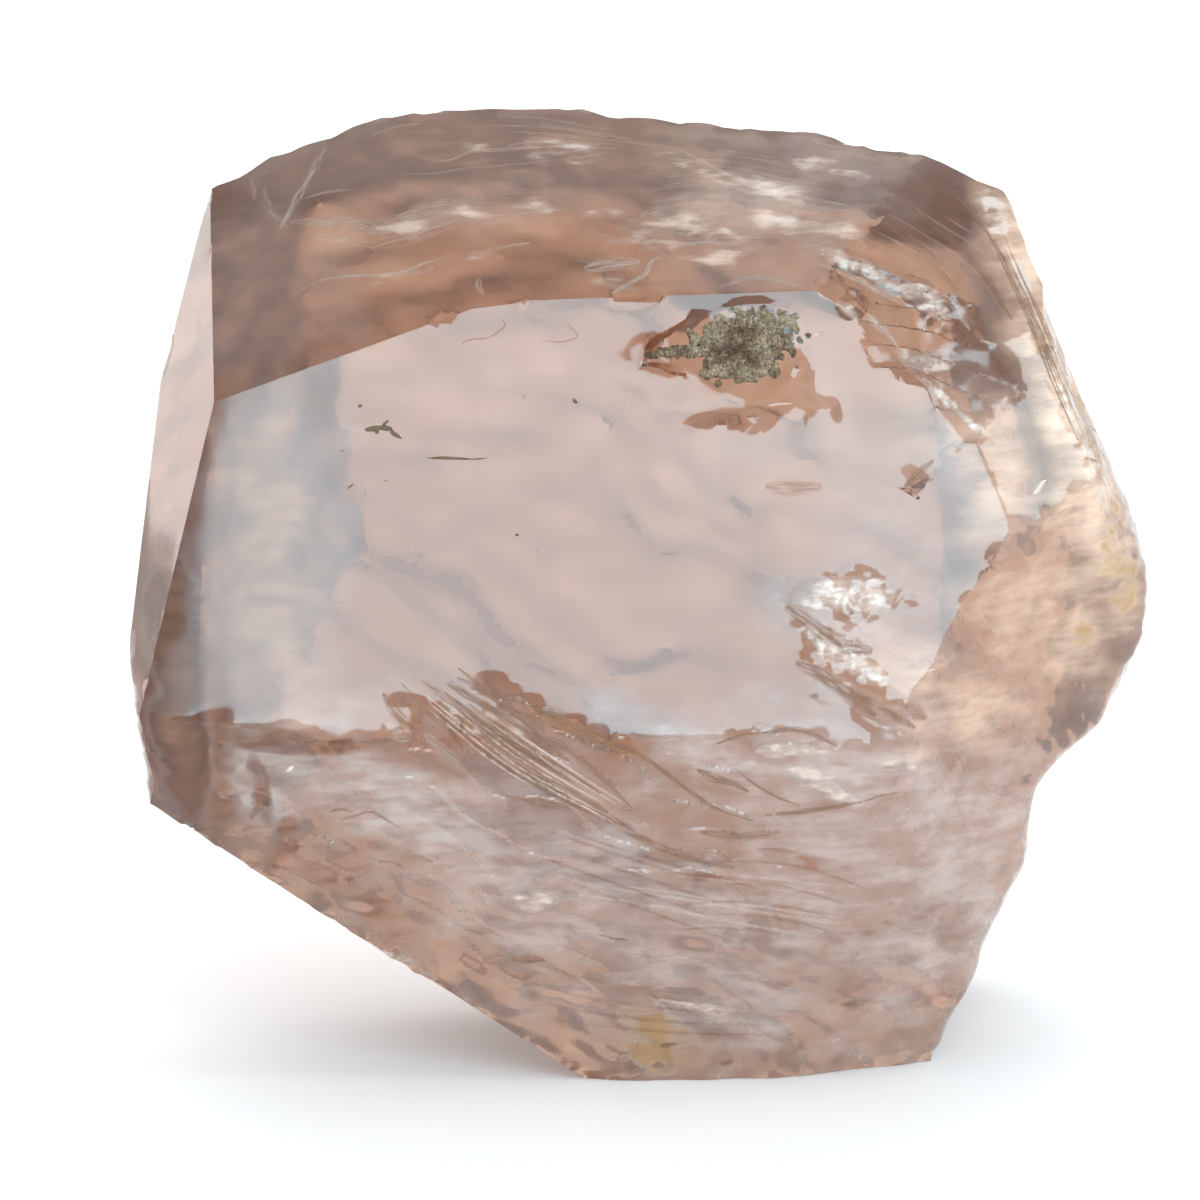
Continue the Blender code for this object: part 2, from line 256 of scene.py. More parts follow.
# Wisps and cracks on and inside the stone, and two painted glints on it: their depth under the
# surface, half width and strength, and their way, as the photograph's pixels x, y, x, y and so on.
STREAKS = (
    (0.03, 0.15, 0.75, (325, 149, 303, 188, 280, 229)),
    (0.5, 0.10, 0.4, (251, 178, 254, 190, 253, 200)),
    (0.5, 0.14, 0.45, (264, 188, 266, 204, 275, 218, 288, 228)),
    (0.4, 0.07, 0.6, (303, 199, 327, 192, 350, 190)),
    (0.6, 0.22, 0.6, (290, 222, 328, 222, 353, 221, 372, 229, 398, 226)),
    (0.6, 0.24, 0.6, (385, 229, 423, 220, 455, 215, 482, 210)),
    (0.6, 0.28, 0.7, (400, 219, 425, 208, 455, 204, 484, 202)),
    (0.5, 0.06, 1.0, (374, 247, 404, 238, 436, 227, 465, 219, 506, 215, 570, 209)),
    (0.3, 0.06, 1.0, (292, 295, 318, 281, 353, 276, 398, 273, 423, 264, 452, 255)),
    (0.3, 0.05, 1.0, (490, 250, 508, 246, 530, 243)),
    (0.6, 0.08, 1.0, (420, 158, 447, 161, 470, 152, 500, 150, 538, 147, 585, 145)),
    (0.8, 0.2, 0.7, (508, 146, 535, 140, 570, 141, 600, 146)),
    (0.5, 0.06, 0.6, (368, 137, 392, 128, 420, 124)),
    (0.8, 0.16, 0.45, (540, 124, 583, 131, 630, 141, 680, 150)),
    (0.5, 0.06, 0.5, (395, 172, 430, 174, 470, 168, 560, 160, 610, 152)),
    (0.5, 0.12, 0.5, (484, 296, 478, 285, 480, 278)),
    (0.6, 0.3, 0.8, (584, 268, 612, 264, 640, 262)),
    (0.3, 0.1, 1.0, (612, 293, 634, 281, 648, 272, 650, 262, 660, 258)),
    (0.6, 0.12, 0.9, (676, 148, 715, 168, 760, 190, 800, 197, 850, 206)),
    (0.6, 0.14, 0.8, (700, 172, 740, 188, 790, 205, 850, 211)),
    (0.7, 0.2, 0.6, (652, 203, 705, 195, 747, 201, 796, 214)),
    (0.7, 0.42, 0.9, (641, 216, 665, 213, 695, 217, 722, 226)),
    (0.7, 0.3, 0.8, (640, 230, 670, 228, 715, 232)),
    (0.5, 0.1, 1.0, (640, 243, 655, 239, 679, 245, 718, 240)),
    (0.6, 0.34, 0.9, (768, 226, 790, 222, 815, 228, 846, 224)),
    (0.6, 0.1, 1.0, (752, 219, 786, 217, 850, 219)),
    (0.5, 0.3, 0.6, (795, 247, 815, 243, 838, 236)),
    (0.4, 0.09, 0.9, (720, 287, 757, 278, 800, 286)),
    (0.4, 0.07, 0.8, (730, 281, 752, 276, 790, 279)),
    (0.8, 0.16, 0.5, (776, 136, 809, 139, 845, 150, 880, 162)),
    (0.9, 0.3, 0.5, (800, 134, 850, 144, 915, 160)),
    (0.2, 0.13, 1.0, (820, 264, 842, 272, 862, 282, 880, 292, 899, 303)),
    (0.2, 0.2, 1.0, (906, 292, 918, 288, 930, 295, 942, 306)),
    (0.2, 0.14, 0.8, (942, 292, 955, 306, 970, 330)),
    (0.3, 0.3, 0.9, (898, 352, 915, 362, 935, 356, 955, 352)),
    (0.1, 0.16, 1.0, (838, 302, 848, 310, 858, 322)),
    (0.1, 0.12, 0.9, (866, 318, 884, 330, 900, 350)),
    (0.1, 0.1, 1.0, (915, 375, 930, 388, 948, 402, 962, 418, 976, 432)),
    (0.4, 0.5, 0.75, (752, 745, 775, 740, 800, 745, 812, 755)),
    (0.4, 0.5, 0.8, (790, 772, 815, 780, 840, 792, 862, 802)),
    (0.3, 0.2, 0.8, (890, 770, 905, 768, 930, 770)),
    (0.2, 0.2, 0.7, (424, 733, 440, 748, 455, 762, 472, 775)),
    (0.4, 0.4, 0.7, (506, 893, 525, 886, 545, 900, 560, 902)),
    (0.3, 0.12, 0.9, (528, 978, 540, 974, 556, 972)),
    (0.3, 0.1, 0.9, (568, 966, 580, 962, 592, 952)),
    (0.3, 0.12, 0.9, (692, 1010, 712, 1002, 722, 1000)),
    (0.3, 0.14, 0.9, (700, 1024, 735, 1018, 770, 1024, 790, 1028)),
    (0.3, 0.4, 0.5, (640, 1018, 680, 1012, 720, 1016)),
    # A painted glint: a bright fleck on the surface where the stone mirrors a light.
    (0.0, 0.14, 1.0, (1033, 494, 1040, 486, 1046, 480)),
    # A painted glint in the hollow beside the crust.
    (0.0, 0.03, 1.0, (768, 406, 778, 404, 792, 404)),
    (0.0, 0.1, 1.0, (286, 771, 290, 769, 294, 766)),
    (0.0, 0.05, 1.0, (925, 672, 930, 670, 935, 669)),
    (0.1, 0.05, 1.0, (906, 468, 918, 462, 934, 452, 950, 442, 966, 438)),
    (0.1, 0.08, 0.9, (400, 955, 412, 962, 424, 972, 436, 980)),
)

# Bundles of fine parallel streaks: depth, half width, strength, count, and the two ways that they
# fill the space between.
FANS = (
    (0.7, 0.09, 0.6, 8, (630, 192, 700, 182, 780, 194, 850, 206),
     (630, 240, 700, 242, 770, 240, 838, 240)),
    (0.8, 0.06, 0.5, 7, (600, 150, 700, 146, 800, 160, 890, 178),
     (640, 190, 720, 182, 800, 200, 862, 208)),
    (0.8, 0.06, 0.5, 7, (300, 214, 380, 216, 450, 196, 570, 186),
     (300, 236, 390, 250, 470, 226, 570, 222)),
    (0.8, 0.06, 0.6, 5, (480, 116, 540, 118, 590, 126, 640, 136),
     (500, 146, 540, 148, 590, 150, 640, 152)),
    (0.5, 0.06, 0.4, 6, (908, 186, 950, 215, 1000, 250, 1036, 300),
     (850, 238, 900, 262, 940, 290, 972, 340)),
    (0.3, 0.07, 0.7, 6, (995, 190, 1030, 262, 1060, 330, 1100, 420),
     (985, 200, 1015, 262, 1046, 340, 1086, 440)),
)

# Brown lines of the cleavage steps, on the surface, as painted shade of the dark strips that
# the steps make by bending light: half width and strength, and their way.
BROWN_LINES = (
    (0.07, 0.95, (458, 668, 480, 684, 503, 696, 523, 703, 544, 714)),
    (0.3, 0.9, (534, 711, 556, 718, 578, 732, 604, 744, 636, 752)),
    (0.07, 0.9, (600, 742, 630, 750, 648, 760, 666, 773, 692, 793, 717, 809, 753, 821)),
    (0.05, 0.7, (578, 722, 596, 733, 618, 746)),
    (0.09, 0.8, (457, 678, 476, 686, 500, 703, 522, 714)),
    (0.2, 0.55, (447, 684, 475, 700, 505, 718, 540, 736)),
    (0.16, 0.5, (421, 680, 455, 704, 500, 736, 560, 774)),
    (0.12, 0.5, (540, 736, 572, 752, 600, 776, 632, 808)),
    (0.14, 0.45, (402, 684, 430, 712, 470, 742, 520, 776, 570, 798)),
    (0.16, 0.8, (383, 693, 394, 710, 404, 722, 418, 736)),
    (0.2, 0.6, (440, 716, 460, 728, 485, 742)),
    (0.18, 0.5, (505, 796, 530, 800, 560, 806, 582, 804)),
    (0.2, 0.6, (590, 804, 615, 822, 645, 840, 690, 858, 735, 868)),
    (0.14, 0.9, (697, 769, 717, 779, 735, 784, 748, 792)),
    (0.05, 0.8, (735, 768, 752, 782, 775, 796, 800, 806)),
    (0.05, 0.8, (716, 744, 742, 735, 762, 733)),
    (0.09, 0.8, (762, 733, 790, 729, 812, 734, 836, 746)),
    (0.1, 0.8, (765, 815, 800, 812, 840, 806, 862, 802)),
    (0.04, 0.7, (862, 802, 880, 796, 900, 792)),
    (0.2, 0.5, (700, 832, 740, 836, 780, 832)),
    (0.22, 0.8, (796, 662, 822, 676, 850, 696, 876, 716)),
    (0.14, 0.7, (850, 692, 880, 706, 915, 728)),
    (0.3, 0.6, (786, 606, 806, 620, 834, 640, 872, 652)),
    (0.16, 0.7, (230, 724, 260, 727, 290, 736, 320, 744, 360, 748)),
    (0.1, 0.6, (360, 742, 385, 741, 412, 738)),
    (0.16, 0.8, (262, 765, 266, 782, 262, 800, 250, 820)),
    (0.05, 0.7, (328, 812, 340, 809, 352, 812)),
    (0.05, 0.7, (340, 820, 358, 815, 372, 812, 400, 828)),
    (0.06, 0.8, (598, 934, 612, 938, 628, 940)),
    (0.3, 0.5, (482, 960, 515, 958, 545, 960)),
    (0.12, 0.9, (902, 490, 918, 474, 934, 460)),
    (0.03, 0.7, (455, 349, 468, 340, 488, 338, 505, 326, 500, 318)),
    (0.02, 0.7, (540, 340, 560, 342, 578, 336, 566, 322)),
    (0.06, 0.7, (1085, 458, 1092, 460, 1098, 462)),
    (0.16, 0.5, (880, 180, 930, 222, 980, 270, 1012, 320)),
    (0.1, 0.5, (868, 206, 905, 240, 950, 282, 978, 330)),
    (0.08, 0.5, (925, 172, 965, 205, 1000, 252, 1030, 300)),
    (0.3, 0.35, (765, 486, 795, 488, 822, 486)),
    (0.3, 0.4, (1040, 346, 1044, 352, 1048, 360)),
    (0.16, 0.6, (840, 1004, 855, 1004, 872, 1000)),
    (0.1, 0.9, (660, 1046, 668, 1045, 678, 1044)),
    (0.1, 0.9, (652, 1066, 658, 1065, 664, 1067)),
    (0.1, 0.9, (720, 1063, 726, 1063, 733, 1061)),
    (0.08, 0.9, (626, 1068, 631, 1068, 637, 1066)),
)

# Bundles of fine brown lines and of fine pale ones, on the surface: painted shade and painted
# highlights for the dark and light strips of the steps.
BROWN_FANS = (
    (0, 0.12, 0.75, 7, (447, 678, 500, 712, 560, 752, 640, 808),
     (402, 686, 440, 720, 500, 768, 600, 822)),
    (0, 0.07, 0.35, 6, (690, 850, 740, 842, 800, 846, 880, 872),
     (650, 940, 720, 936, 800, 946, 860, 968)),
    (0, 0.07, 0.35, 5, (560, 820, 640, 846, 700, 862, 780, 884),
     (500, 860, 580, 890, 660, 920, 740, 950)),
    (0, 0.06, 0.3, 4, (500, 950, 580, 976, 660, 990, 760, 1000),
     (500, 1010, 580, 1030, 680, 1040, 780, 1040)),
    (0, 0.05, 0.7, 6, (1005, 230, 1040, 310, 1070, 380, 1104, 470),
     (985, 230, 1022, 310, 1054, 390, 1090, 470)),
)
# Painted highlights: the pale strips of the hackle steps.
LIGHT_FANS = (
    (0, 0.05, 0.6, 7, (452, 686, 500, 720, 560, 760, 640, 812),
     (415, 700, 450, 730, 510, 776, 610, 826)),
    (0, 0.05, 0.3, 5, (640, 860, 700, 866, 780, 872, 860, 880),
     (560, 900, 640, 912, 720, 930, 830, 950)),
)

# How many times light is bent or mirrored on its way through the stone.
MOST_BOUNCES = 7

# The camera: its height above the horizon, distance, and the width that it sees there.
VIEW_TILT = 12.0
VIEW_DISTANCE = 300.0
VIEW_WIDTH = 46.0
VIEW_AIM = (-1.0, 0.0, 16.8)
SENSOR_WIDTH = 36.0

# The studio's even light, and the floor: its half width in metres, and how far it is under the
# foot.
WORLD_LIGHT = 0.9
FLOOR_REACH = 3.0
FLOOR_GAP = 0.02


class Nodes:
    """Adds nodes to a tree, sets their inputs and links those that are sockets."""

    def __init__(self, tree):
        self.tree = tree

    def add(self, kind, inputs=None, **settings):
        made = self.tree.nodes.new(kind)
        for key, value in settings.items():
            setattr(made, key, value)
        for key, value in (inputs or {}).items():
            if isinstance(value, bpy.types.NodeSocket):
                self.tree.links.new(value, made.inputs[key])
            else:
                made.inputs[key].default_value = value
        return made


class Finish(Nodes):
    """A new material, with short ways to its maths, ranges, mixes and patterns."""

    def __init__(self, name):
        self.material = bpy.data.materials.new(name)
        self.material.use_nodes = True
        super().__init__(self.material.node_tree)
        self.tree.nodes.clear()

    def painted(self, name):
        return self.add("ShaderNodeAttribute", attribute_name=name).outputs["Fac"]

    def place(self):
        return self.add("ShaderNodeTexCoord").outputs["Object"]

    def math_of(self, operation, *values, **settings):
        made = self.add("ShaderNodeMath", dict(enumerate(values)), operation=operation,
                        **settings)
        return made.outputs["Value"]

    def ranged(self, value, low, high, start=0.0, end=1.0, **settings):
        made = self.add("ShaderNodeMapRange", {"Value": value, "From Min": low, "From Max": high,
                                               "To Min": start, "To Max": end}, **settings)
        return made.outputs["Result"]

    def mixed(self, share, *colours):
        first, second = (colour if isinstance(colour, bpy.types.NodeSocket) else (*colour, 1)
                         for colour in colours)
        made = self.add("ShaderNodeMix", {"Factor": share, 6: first, 7: second}, data_type="RGBA")
        return made.outputs[2]

    def noise(self, vector, scale, detail=2.0, roughness=0.5):
        made = self.add("ShaderNodeTexNoise", {"Vector": vector, "Scale": scale,
                                               "Detail": detail, "Roughness": roughness})
        return made.outputs["Fac"]

    def solid(self, inputs):
        """Ends the material with one shader with these inputs."""
        shader = self.add("ShaderNodeBsdfPrincipled", inputs)
        self.add("ShaderNodeOutputMaterial", {"Surface": shader.outputs["BSDF"]})
        return self.material


def outward(azimuth, tilt):
    """The unit vector that points out of a face at this compass angle and tilt."""
    a, t = math.radians(azimuth), math.radians(tilt)
    return Vector((math.sin(a) * math.cos(t), -math.cos(a) * math.cos(t), math.sin(t)))


def in_scene(name, data):
    """A new object in the scene."""
    made = bpy.data.objects.new(name, data)
    bpy.context.scene.collection.objects.link(made)
    return made


def finished_mesh(name, draft, material=None):
    """The draft as a mesh of its own, with its finish if one is given. The draft is freed."""
    mesh = bpy.data.meshes.new(name)
    draft.to_mesh(mesh)
    draft.free()
    if material:
        mesh.materials.append(material)
        mesh.shade_smooth()
    return mesh


def points_of(mesh):
    """A mesh's points in millimetres."""
    flat = np.zeros(len(mesh.vertices) * 3)
    mesh.vertices.foreach_get("co", flat)
    return flat.reshape(-1, 3) / MM


def put_points(mesh, points):
    mesh.vertices.foreach_set("co", (points * MM).astype(np.float32).ravel())
    mesh.update()


def values_of(items, name, width=1, kind=float):
    flat = np.zeros(len(items) * width, kind)
    items.foreach_get(name, flat)
    return flat.reshape(-1, width) if width > 1 else flat


def find_heart(mesh):
    """The point that the faces' distances are measured from, found from the flat faces."""
    normals = values_of(mesh.polygons, "normal", 3)
    centres = values_of(mesh.polygons, "center", 3) / MM
    areas = values_of(mesh.polygons, "area")
    rows, reaches = [], []
    for azimuth, tilt, reach in FLAT_FACES.values():
        out = np.array(outward(azimuth, tilt))
        on_it = normals @ out > SAME_WAY
        distance = np.average(centres[on_it] @ out, weights=areas[on_it])
        rows.append(out)
        reaches.append(distance - reach)
    return np.linalg.lstsq(np.array(rows), np.array(reaches), rcond=None)[0]


HEART = find_heart(frame["nodes"]["crystal"].data)


def face_axes(name):
    """A flat face's foot point and its axes: level to the right, up the face, and out."""
    azimuth, tilt, reach = FLAT_FACES[name]
    out = outward(azimuth, tilt)
    level = Vector((0, 0, 1)).cross(out).normalized()
    up = out.cross(level)
    return HEART + np.array(out) * reach, np.array((level, up, out))


def on_face(name, points):
    """Points as places on a flat face: across, up and out of it, in millimetres."""
    foot, axes = face_axes(name)
    return (np.asarray(points) - foot) @ axes.T


def off_face(name, places):
    """The points of such places."""
    foot, axes = face_axes(name)
    return np.asarray(places) @ axes + foot


def rough_noise(points, length, seed):
    """Perlin noise of this wavelength at each point."""
    shift = Vector((seed * 7.3, seed * 3.1, seed * 5.7))
    return np.array([noise.noise(Vector(p) / length + shift) for p in points])


def noises_at(points, noises):
    """The sum of several noises, each with its wavelength, height and seed."""
    return sum(height * rough_noise(points, length, seed) for length, height, seed in noises)


def in_spots(places, spots, seed, length=1.6, fray=0.5):
    """How far each place is inside a group of soft uneven spots, from 0 to their strength."""
    fray_at = fray * rough_noise(np.column_stack((places, np.zeros(len(places)))), length, seed)
    share = np.zeros(len(places))
    for across, up, half_length, half_width, turn, *strength in spots:
        a = math.radians(turn)
        away = places - (across, up)
        along = (away @ (math.cos(a), math.sin(a))) / half_length
        aside = (away @ (-math.sin(a), math.cos(a))) / half_width
        inside = np.clip(1.4 - np.hypot(along, aside) + fray_at, 0, 1)
        share = np.maximum(share, inside * (strength[0] if strength else 1))
    return share


def camera_axes():
    """The camera's place and its axes: right, up and back, in millimetres."""
    back = np.array(outward(0, VIEW_TILT))
    right = np.array((1.0, 0.0, 0.0))
    aim = np.array((HEART[0] + VIEW_AIM[0], HEART[1] + VIEW_AIM[1], VIEW_AIM[2]))
    return aim + back * VIEW_DISTANCE, np.array((right, np.cross(back, right), back))


def way_through(pixel):
    """The camera's place, and the way that it looks through a pixel."""
    eye, (right, up, back) = camera_axes()
    scale = VIEW_WIDTH / VIEW_DISTANCE / PHOTO_SIDE
    across, down = (value - PHOTO_SIDE / 2 for value in pixel)
    way = right * across * scale - up * down * scale - back
    return eye, way / np.linalg.norm(way)


def seen_place(pixel, surface, depth):
    """The place this deep under the surface that the camera sees at a pixel, bent as the stone
    bends light, and the surface's direction there. None where the camera sees no stone."""
    eye, way = way_through(pixel)
    spot, out, *_ = surface.ray_cast(Vector(eye * MM), Vector(way))
    if spot is None:
        return None
    out = np.array(out)
    cosine = -(way @ out)
    inner = math.sqrt(1 - (1 - cosine**2) / STONE_IOR**2)
    bent = way / STONE_IOR + (cosine / STONE_IOR - inner) * out
    return np.array(spot) / MM + bent * depth / inner + out * LINE_LIFT, out


def merged_copy(node):
    """A copy of a frame node's mesh with its loose triangles joined."""
    draft = bmesh.new()
    draft.from_mesh(node.data)
    bmesh.ops.remove_doubles(draft, verts=draft.verts, dist=MERGE_WITHIN * MM)
    return finished_mesh("merged", draft)


def evaluated_mesh(thing):
    graph = bpy.context.evaluated_depsgraph_get()
    return bpy.data.meshes.new_from_object(thing.evaluated_get(graph))


def fine_cells(node):
    """The node's surface in even cells, with its sharp edges kept."""
    made = in_scene("fine_cells", merged_copy(node))
    remesh = made.modifiers.new("cells", "REMESH")
    remesh.mode = "SHARP"
    remesh.octree_depth = OCTREE_DEPTH
    longest = max(made.dimensions) / MM
    remesh.scale = longest / (CELL * 2**OCTREE_DEPTH)
    remesh.sharpness = 1.0
    remesh.use_remove_disconnected = True
    data = evaluated_mesh(made)
    bpy.data.objects.remove(made)
    return data


def flat_face_of(mesh):
    """For each polygon, the index of the flat face that it lies on, or -1."""
    normals = values_of(mesh.polygons, "normal", 3)
    centres = values_of(mesh.polygons, "center", 3) / MM
    found = np.full(len(normals), -1)
    for index, (azimuth, tilt, reach) in enumerate(FLAT_FACES.values()):
        out = np.array(outward(azimuth, tilt))
        near = np.abs((centres - HEART) @ out - reach) < FACE_WITHIN
        found[near & (normals @ out > math.cos(math.radians(FACE_TURN)))] = index
    return found


def corner_lists(mesh):
    """Each polygon corner's vertex and polygon."""
    verts = values_of(mesh.loops, "vertex_index", kind=np.int32)
    totals = values_of(mesh.polygons, "loop_total", kind=np.int32)
    return verts, np.repeat(np.arange(len(totals)), totals)


def neighbour_mean(edges, count, values):
    """The mean of each vertex's neighbours."""
    total = np.zeros((count, values.shape[1]))
    np.add.at(total, edges[:, 0], values[edges[:, 1]])
    np.add.at(total, edges[:, 1], values[edges[:, 0]])
    links = np.bincount(edges.ravel(), minlength=count)[:, None]
    return total / np.maximum(links, 1)


def vertex_faces(mesh):
    """For each vertex, whether it is inside one flat face, and which, or in a broken one."""
    faces = flat_face_of(mesh)
    verts, polygons = corner_lists(mesh)
    lowest = np.full(len(mesh.vertices), 99)
    highest = np.full(len(mesh.vertices), -2)
    np.minimum.at(lowest, verts, faces[polygons])
    np.maximum.at(highest, verts, faces[polygons])
    return (lowest == highest) & (lowest >= 0), lowest, highest == -1


def settle_surface(mesh):
    """Makes the flat faces exactly flat and takes the cell pattern off the broken ones."""
    points = points_of(mesh)
    edges = values_of(mesh.edges, "vertices", 2, np.int32)
    flat, face, broken = vertex_faces(mesh)
    for index, (azimuth, tilt, reach) in enumerate(FLAT_FACES.values()):
        out = np.array(outward(azimuth, tilt))
        here = flat & (face == index)
        points[here] -= np.outer((points[here] - HEART) @ out - reach, out)
    place = on_face("front", points)
    in_pit = in_spots(place[:, :2], CRUST_SPOTS, 6, fray=0) > 0.05
    in_pit &= (place[:, 1] > PIT_FOOT) & (np.abs(place[:, 2]) < PIT_DEPTH)
    points[in_pit] -= np.outer(place[in_pit, 2], outward(*FLAT_FACES["front"][:2]))
    moving = broken & (points[:, 2] > FOOT_HEIGHT)
    for _ in range(SMOOTH_ROUNDS):
        mean = neighbour_mean(edges, len(points), points)
        points[moving] += SMOOTH_STEP * (mean[moving] - points[moving])
    put_points(mesh, points)


def split_cells(mesh, chosen):
    """Halves the cells whose middle, as a place on the front face, is chosen."""
    centres = values_of(mesh.polygons, "center", 3) / MM
    normals = values_of(mesh.polygons, "normal", 3)
    picked = np.flatnonzero(chosen(on_face("front", centres), normals))
    fine = bmesh.new()
    fine.from_mesh(mesh)
    fine.faces.ensure_lookup_table()
    fine.edges.ensure_lookup_table()
    chosen_edges = sorted({edge.index for index in picked for edge in fine.faces[index].edges})
    edges = [fine.edges[index] for index in chosen_edges]
    bmesh.ops.subdivide_edges(fine, edges=edges, cuts=1, use_grid_fill=True)
    bmesh.ops.triangulate(fine, faces=[face for face in fine.faces if len(face.verts) > 4])
    fine.to_mesh(mesh)
    fine.free()


def way_distance(places, pixels):
    """Each place's distance from a way on the front face that is given by pixels."""
    way = (np.reshape(pixels, (-1, 2)) - FRONT_FOOT) / FRONT_SCALE * (1, -1)
    nearest = np.full(len(places), 1e9)
    for start, end in zip(way, way[1:]):
        along = end - start
        share = np.clip(((places - start) @ along) / (along @ along), 0, 1)
        nearest = np.minimum(nearest, np.linalg.norm(places - start - share[:, None] * along, axis=1))
    return nearest


def sawtooth(values):
    return values - np.floor(values) - 0.5


def relief_of(points, normals, roughness):
    """The height of the fine relief at each point: fracture steps, hackles, chips and ripples."""
    across_up = on_face("front", points)
    flat_places = np.column_stack((across_up[:, :2], np.zeros(len(points))))
    in_front = np.clip(0.3 - normals[:, 1] * 1.5, 0, 1)
    slow = rough_noise(points, 4.0, 3)
    height = noises_at(points, BROKEN_NOISES)
    height += STEP_HEIGHT * sawtooth(points @ STEP_WAY / STEP_SPACING + 1.5 * slow)
    turn = math.radians(GRAIN_TURN)
    along = flat_places[:, 0] * math.cos(turn) + flat_places[:, 1] * math.sin(turn)
    aside = -flat_places[:, 0] * math.sin(turn) + flat_places[:, 1] * math.cos(turn)
    grain = rough_noise(np.column_stack((along / GRAIN_STRETCH, aside, points[:, 1] * 0.3)), 0.9, 5)
    height += GRAIN_HEIGHT * in_front * grain
    height *= roughness
    crinkle = in_spots(across_up[:, :2], CRINKLE_AND_GLINT_SPOTS, 8) * in_front
    height += crinkle * noises_at(points, CRINKLE_NOISES)
    near, far = (way_distance(across_up[:, :2], way) for way in HACKLE_WAYS)
    share = near / np.maximum(near + far, 1e-6)
    between = np.clip(2.2 - near - far + 0.4 * slow, 0, 1)
    between *= np.clip(on_front_side(across_up), 0, 1)
    lines = sawtooth(share * 6 + 0.5 * slow) + 0.5 * sawtooth(share * 13 + slow)
    height += HACKLE_HEIGHT * between * lines
    scar = in_spots(across_up[:, :2], SCAR_SPOTS, 12, length=0.8)
    scar *= np.clip(on_front_side(across_up), 0, 1)
    height -= SCAR_SLOPE * scar * np.clip(SCAR_TOP - across_up[:, 1], 0, 3)
    for across, up, size, tall in LUMPS:
        away = np.hypot(across_up[:, 0] - across, across_up[:, 1] - up) / size
        height += tall * in_front * np.exp(-away**2 * 2)
    return height


def on_front_side(across_up):
    """1 at the front face and its ledges, falling to 0 where the surface leaves them."""
    return 1.5 - np.abs(across_up[:, 2] + 0.3)


def in_fine_zone(place):
    """Whether each place on the front face is in a zone with finer cells."""
    near = [(np.abs(place[:, 0] - across) < half_width) & (np.abs(place[:, 1] - up) < half_height)
            for across, up, half_width, half_height in FINE_ZONES]
    return np.any(near, axis=0)


def crystal_surface(node):
    """The fine surface: flat faces exactly flat, broken faces smoothed and then roughened, with
    chipped edges."""
    mesh = fine_cells(node)
    settle_surface(mesh)
    split_cells(mesh, lambda place, out: (out[:, 1] < 0.1)
                & ((place[:, 1] < -3.0) | (place[:, 0] > 7.0)))
    split_cells(mesh, lambda place, out: (out[:, 1] < -0.2) & in_fine_zone(place))
    points = points_of(mesh)
    edges = values_of(mesh.edges, "vertices", 2, np.int32)
    flat, face, broken = vertex_faces(mesh)
    moving = broken & (points[:, 2] > FOOT_HEIGHT)
    roughness = moving.astype(float)[:, None]
    for _ in range(3):
        roughness = np.where(moving[:, None], neighbour_mean(edges, len(points), roughness), 0)
    roughness = roughness[:, 0]
    normals = values_of(mesh.vertices, "normal", 3)
    height = relief_of(points, normals, roughness)
    on_edge = ~flat & ~broken & (points[:, 2] > FOOT_HEIGHT)
    chips = np.clip(rough_noise(points[on_edge], 1.1, 11) - 0.3, 0, 1)
    height[on_edge] -= EDGE_CHIPS * chips + EDGE_WEAR
    height[points[:, 2] <= FOOT_HEIGHT] = 0
    points += normals * height[:, None]
    wave = rough_noise(points[flat], 3.4, 12) * FLAT_WAVE
    points[flat] += normals[flat] * wave[:, None]
    put_points(mesh, points)
    normals = values_of(mesh.vertices, "normal", 3)
    behind = np.clip((normals[:, 1] + 0.1) / 0.4, 0, 1) * ~flat
    names = list(FLAT_FACES)
    behind[flat & np.isin(face, [names.index("left_side"), names.index("left_side_top")])] = 1
    in_front = np.clip(0.2 - normals[:, 1] * 2, 0, 1)
    across_up = on_face("front", points)[:, :2]
    paint(mesh, "broken", np.maximum(roughness, behind))
    paint(mesh, "behind", behind)
    paint(mesh, "ridge", behind * np.clip((points[:, 2] - RIDGE_FOOT) / RIDGE_FADE, 0, 1))
    for seed, (name, spots) in enumerate(SPOTS.items(), FIRST_SPOT_SEED):
        amount = in_spots(across_up, spots, seed)
        if name == "haze_and_sheen":
            # Painted light on the top band's right part.
            amount += TOP_RIGHT_PAINTED_LIGHT * (face == names.index("top_right")) * np.clip(across_up[:, 0], 0, 3)
        paint(mesh, name, amount * in_front)
    mesh.shade_smooth()
    mesh.set_sharp_from_angle(angle=math.radians(24))
    count = sum(values_of(mesh.polygons, "loop_total", kind=np.int32) - 2)
    print("clear crystal:", count, "triangles")
    return mesh


def paint(mesh, name, values):
    attribute = mesh.attributes.new(name, "FLOAT", "POINT")
    attribute.data.foreach_set("value", np.asarray(values, np.float32))


def in_fixed_order(name, draft):
    """The draft as a mesh whose faces and corners come in the same order on every run."""
    draft.verts.index_update()
    faces = []
    for face in draft.faces:
        corners = [vert.index for vert in face.verts]
        first = corners.index(min(corners))
        faces.append(corners[first:] + corners[:first])
    mesh = bpy.data.meshes.new(name)
    mesh.from_pydata([vert.co for vert in draft.verts], [], sorted(faces))
    mesh.update()
    return mesh


